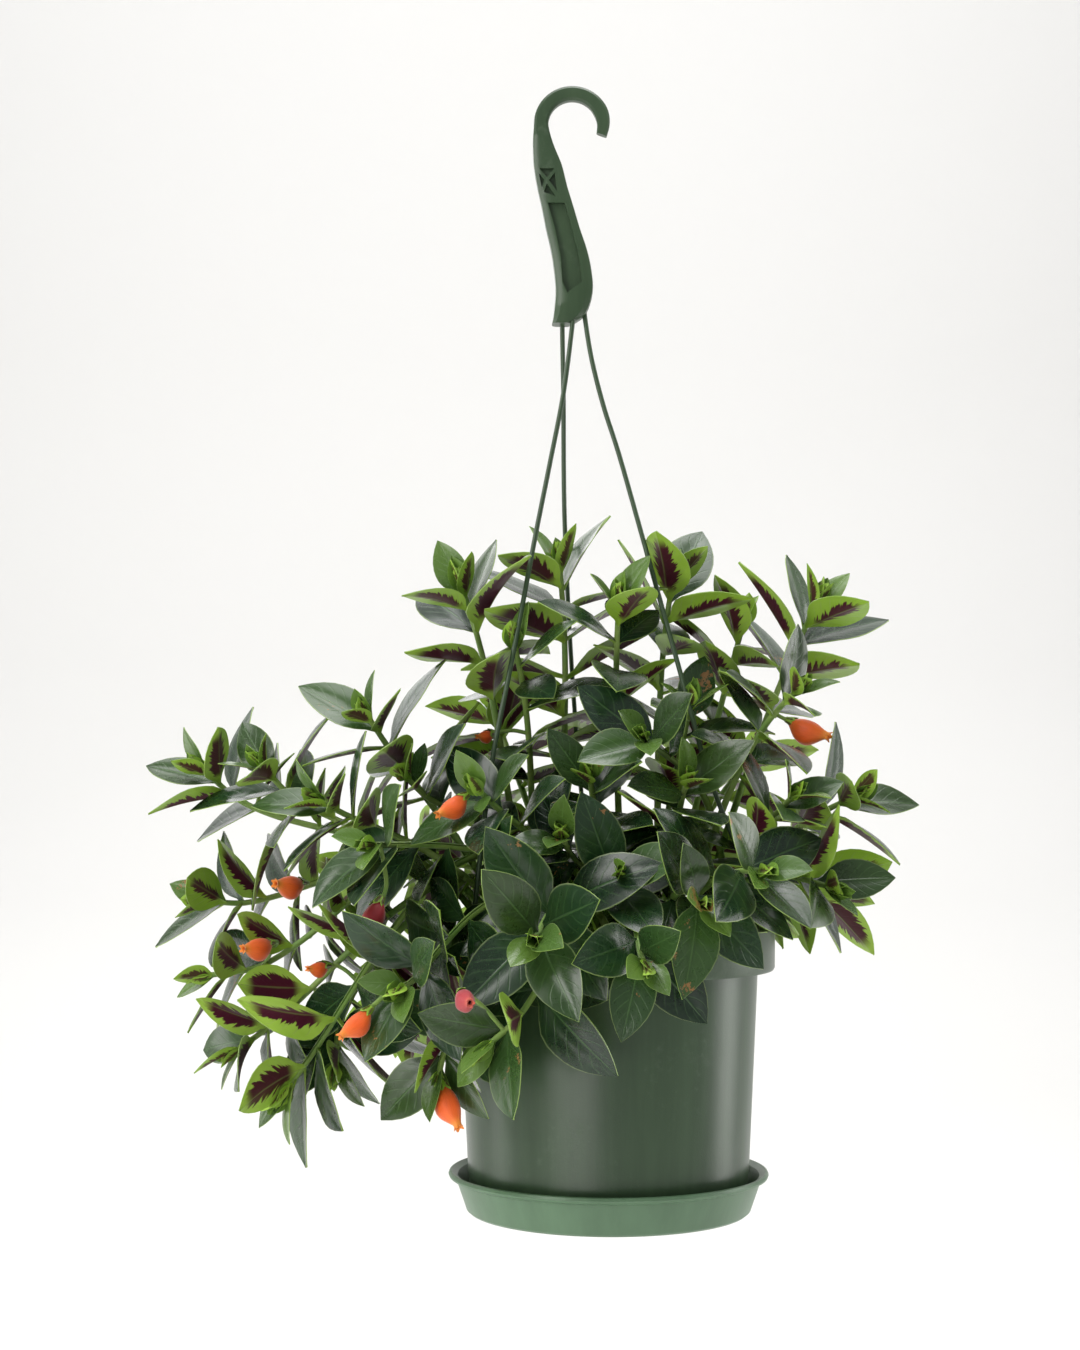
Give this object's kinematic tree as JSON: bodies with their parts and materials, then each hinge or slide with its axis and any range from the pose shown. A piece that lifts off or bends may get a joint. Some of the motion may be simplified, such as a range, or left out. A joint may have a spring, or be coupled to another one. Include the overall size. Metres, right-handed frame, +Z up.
{
  "type": "goldfish plant in a hanging pot",
  "caption": "Bushy trailing house plant with paired pointed leaves and pouch-shaped orange blooms, in a round hanging pot with a clip-on saucer and a moulded hook hanger.",
  "frame": {"origin": "inside of the hook's crown, where the plant hangs, in the middle plane of the hook", "axes": "+Z up; -Y the side seen in the picture; +X to the right from there"},
  "size_m": [0.3583, 0.2712, 0.5168],
  "materials": {
    "pot_green": "soft satin moulded plastic",
    "saucer_green": "soft satin moulded plastic",
    "hanger_green": "satin moulded plastic",
    "potting_mix": "loose, matt, fibrous",
    "leaf_green": "thick waxy leaf",
    "bloom_orange": "soft, finely haired petal",
    "bloom_red": "soft, finely haired petal"
  },
  "bodies": {
    "root": {"bloom_drop_low": "bloom_orange", "bloom_left_bud": "bloom_orange", "bloom_left_front": "bloom_orange", "bloom_left_high": "bloom_orange", "bloom_left_inner": "bloom_orange", "bloom_left_low": "bloom_orange", "bloom_left_old": "bloom_red", "bloom_mid_old": "bloom_red", "bloom_right_high": "bloom_orange", "bloom_top_bud": "bloom_orange", "hanger_handle": "hanger_green", "pot": "pot_green", "potting_mix": "potting_mix", "saucer": "saucer_green", "stem_back_drop": "leaf_green", "stem_back_left": "leaf_green", "stem_back_left_drop": "leaf_green", "stem_back_left_low": "leaf_green", "stem_back_mid": "leaf_green", "stem_back_right": "leaf_green", "stem_back_right_low": "leaf_green", "stem_crown_centre": "leaf_green", "stem_drop_front": "leaf_green", "stem_face_mid": "leaf_green", "stem_far_left": "leaf_green", "stem_far_right": "leaf_green", "stem_front_fill": "leaf_green", "stem_front_left": "leaf_green", "stem_front_low_right": "leaf_green", "stem_front_right": "leaf_green", "stem_front_shoot": "leaf_green", "stem_high_right": "leaf_green", "stem_inner_right": "leaf_green", "stem_inner_top": "leaf_green", "stem_left_deep": "leaf_green", "stem_left_drop": "leaf_green", "stem_left_front": "leaf_green", "stem_left_low": "leaf_green", "stem_left_mid": "leaf_green", "stem_left_out": "leaf_green", "stem_left_shoot": "leaf_green", "stem_left_upper": "leaf_green", "stem_low_inner": "leaf_green", "stem_lowest_left": "leaf_green", "stem_over_rim": "leaf_green", "stem_over_rim_left": "leaf_green", "stem_right_fill": "leaf_green", "stem_right_low": "leaf_green", "stem_right_mid": "leaf_green", "stem_right_out": "leaf_green", "stem_rosette_left": "leaf_green", "stem_rosette_mid": "leaf_green", "stem_rosette_right": "leaf_green", "stem_rosette_top": "leaf_green", "stem_top_centre": "leaf_green", "stem_top_left": "leaf_green", "stem_top_right": "leaf_green", "strand_back": "hanger_green", "strand_left": "hanger_green", "strand_right": "hanger_green"}
  },
  "joints": []
}
